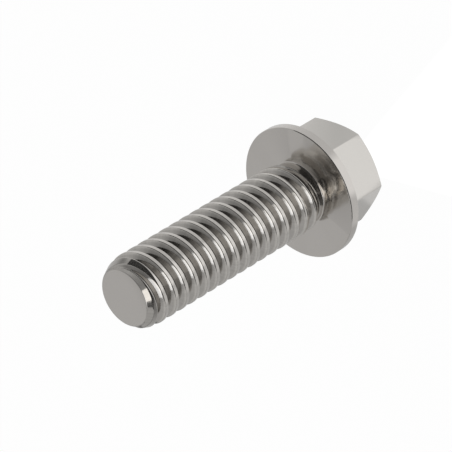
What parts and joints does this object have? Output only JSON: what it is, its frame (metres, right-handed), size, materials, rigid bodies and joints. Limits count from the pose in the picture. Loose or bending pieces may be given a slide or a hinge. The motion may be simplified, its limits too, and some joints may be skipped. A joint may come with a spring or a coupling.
{
  "type": "hexagon flange screw",
  "caption": "Hexagon flange screw in bright stainless steel: chamfered hexagon head with a built-in washer flange, short plain neck and a thread up to its flat chamfered tip.",
  "frame": {"origin": "centre of the flat top of the head, on which the screw stands", "axes": "+Z along the screw's axis, from the head to the tip; two corners of the hexagon lie on the X axis"},
  "size_m": [0.0112, 0.0112, 0.0252],
  "materials": {
    "stainless_steel": "bright, plain stainless steel"
  },
  "bodies": {
    "root": {"flange_screw": "stainless_steel"}
  },
  "joints": []
}
